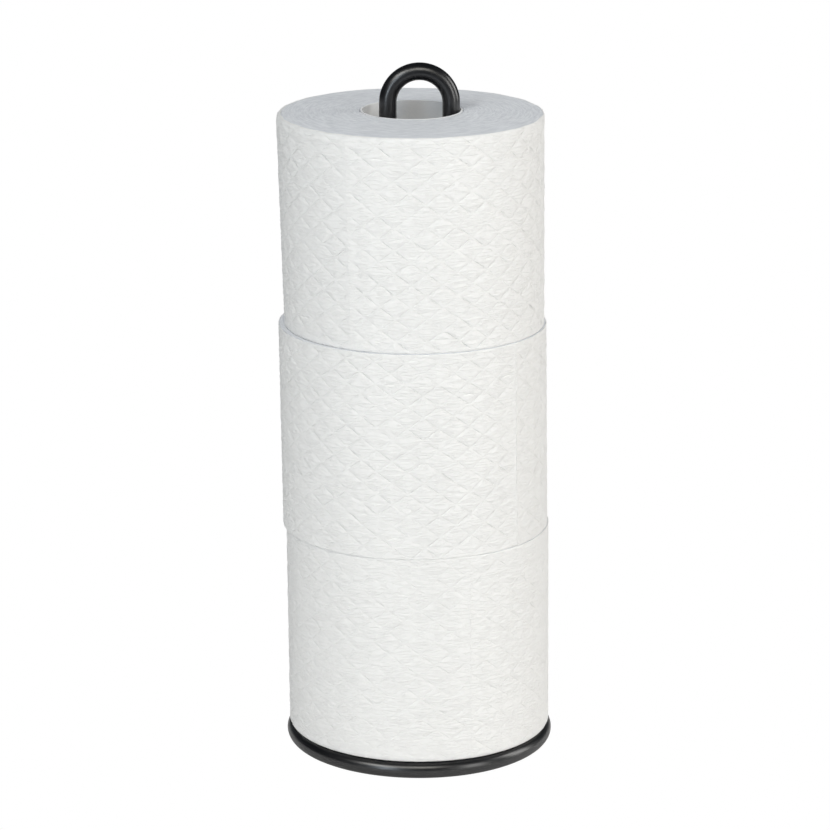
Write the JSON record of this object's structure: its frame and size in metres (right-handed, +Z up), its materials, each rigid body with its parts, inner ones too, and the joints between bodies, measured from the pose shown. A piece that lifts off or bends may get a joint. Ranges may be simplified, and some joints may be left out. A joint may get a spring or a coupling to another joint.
{
  "type": "spare toilet roll holder",
  "caption": "Free-standing bent-rod hoop on a rod ring, which keeps a stack of toilet rolls threaded over it.",
  "frame": {"origin": "on the floor, at the middle of the base ring", "axes": "+Z up along the stack of rolls; +X across the hoop, from its left leg to its right leg as seen from the front; -Y is the front"},
  "size_m": [0.1274, 0.1252, 0.3227],
  "materials": {
    "powder_coat": "satin",
    "core_board": "matte",
    "wound_tissue": "matte",
    "embossed_tissue": "matte"
  },
  "bodies": {
    "stand": {"base_ring": "powder_coat", "cross_bar": "powder_coat", "hoop": "powder_coat", "corner_weld_left_front": "powder_coat", "corner_weld_left_back": "powder_coat", "corner_weld_right_front": "powder_coat", "corner_weld_right_back": "powder_coat", "leg_weld_left": "powder_coat", "leg_weld_right": "powder_coat"},
    "tube_bottom": {"core_bottom": "core_board"},
    "roll_bottom": {"wound_paper_bottom": "wound_tissue", "outer_sheet_bottom": "embossed_tissue"},
    "tube_middle": {"core_middle": "core_board"},
    "roll_middle": {"wound_paper_middle": "wound_tissue", "outer_sheet_middle": "embossed_tissue"},
    "tube_top": {"core_top": "core_board"},
    "roll_top": {"wound_paper_top": "wound_tissue", "outer_sheet_top": "embossed_tissue"}
  },
  "joints": [
    {"name": "lift_bottom_roll", "type": "slide", "parent": "stand", "child": "tube_bottom", "axis": [0, 0, 1], "range_m": [0, 0.32]},
    {"name": "lift_middle_roll", "type": "slide", "parent": "tube_bottom", "child": "tube_middle", "axis": [0, 0, 1], "range_m": [0, 0.222]},
    {"name": "lift_top_roll", "type": "slide", "parent": "tube_middle", "child": "tube_top", "axis": [0, 0, 1], "range_m": [0, 0.125]},
    {"name": "turn_bottom_roll", "type": "hinge", "parent": "tube_bottom", "child": "roll_bottom", "pos_m": [-0.0003, 0, 0.0568], "axis": [0, 0, 1], "continuous": true},
    {"name": "turn_middle_roll", "type": "hinge", "parent": "tube_middle", "child": "roll_middle", "pos_m": [-0.00281, 0, 0.1541], "axis": [0, 0, 1], "continuous": true},
    {"name": "turn_top_roll", "type": "hinge", "parent": "tube_top", "child": "roll_top", "pos_m": [-0.00361, 0, 0.2514], "axis": [0, 0, 1], "continuous": true}
  ]
}
